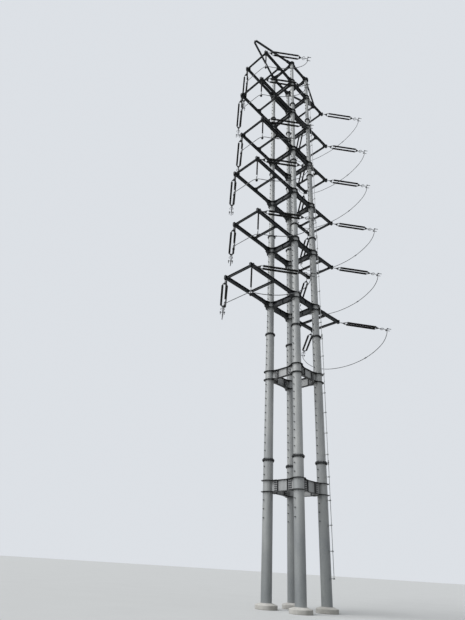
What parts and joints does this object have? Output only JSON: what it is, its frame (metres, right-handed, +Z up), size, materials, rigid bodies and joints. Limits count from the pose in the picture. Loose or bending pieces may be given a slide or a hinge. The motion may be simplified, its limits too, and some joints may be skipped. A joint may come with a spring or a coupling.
{
  "type": "1:2 scale model of a tubular steel transmission tower",
  "caption": "Half-size angle tower: stepped steel tube columns joined by ring beams, with stacked crossarms, strain insulator strings and jumper loops.",
  "frame": {"origin": "underside centre of the front left pedestal", "axes": "+X along the crossarms, +Y across them from the front pair of columns to the rear pair, +Z up"},
  "size_m": [8.0187, 5.1327, 27.933],
  "materials": {
    "concrete": "weathered concrete",
    "column_zinc": "weathered galvanised steel",
    "ring_zinc": "weathered galvanised steel",
    "arm_steel": "dull dark grey coating",
    "insulator": "matt silicone rubber",
    "cable": "weathered stranded aluminium"
  },
  "bodies": {
    "root": {"front_left_pedestal": "concrete", "front_right_pedestal": "concrete", "rear_left_pedestal": "concrete", "rear_right_pedestal": "concrete", "column_section_1": "column_zinc", "column_section_2": "column_zinc", "column_section_3": "column_zinc", "column_section_4": "column_zinc", "column_section_5": "column_zinc", "column_section_6": "column_zinc", "lower_ring": "ring_zinc", "upper_ring": "ring_zinc", "crossarm_1": "arm_steel", "crossarm_2": "arm_steel", "crossarm_3": "arm_steel", "crossarm_4": "arm_steel", "crossarm_5": "arm_steel", "crossarm_6": "arm_steel", "top_frame": "arm_steel", "outer_earth_wire_arm": "arm_steel", "inner_earth_wire_arm": "arm_steel", "insulator_strings_1": "insulator", "insulator_strings_2": "insulator", "insulator_strings_3": "insulator", "insulator_strings_4": "insulator", "insulator_strings_5": "insulator", "insulator_strings_6": "insulator", "jumper_supports": "insulator", "climbing_rail": "column_zinc", "outer_jumper_1": "cable", "outer_jumper_2": "cable", "outer_jumper_3": "cable", "outer_jumper_4": "cable", "outer_jumper_5": "cable", "outer_jumper_6": "cable", "inner_jumper_1": "cable", "inner_jumper_2": "cable", "inner_jumper_3": "cable", "inner_jumper_4": "cable", "inner_jumper_5": "cable", "inner_jumper_6": "cable"}
  },
  "joints": []
}
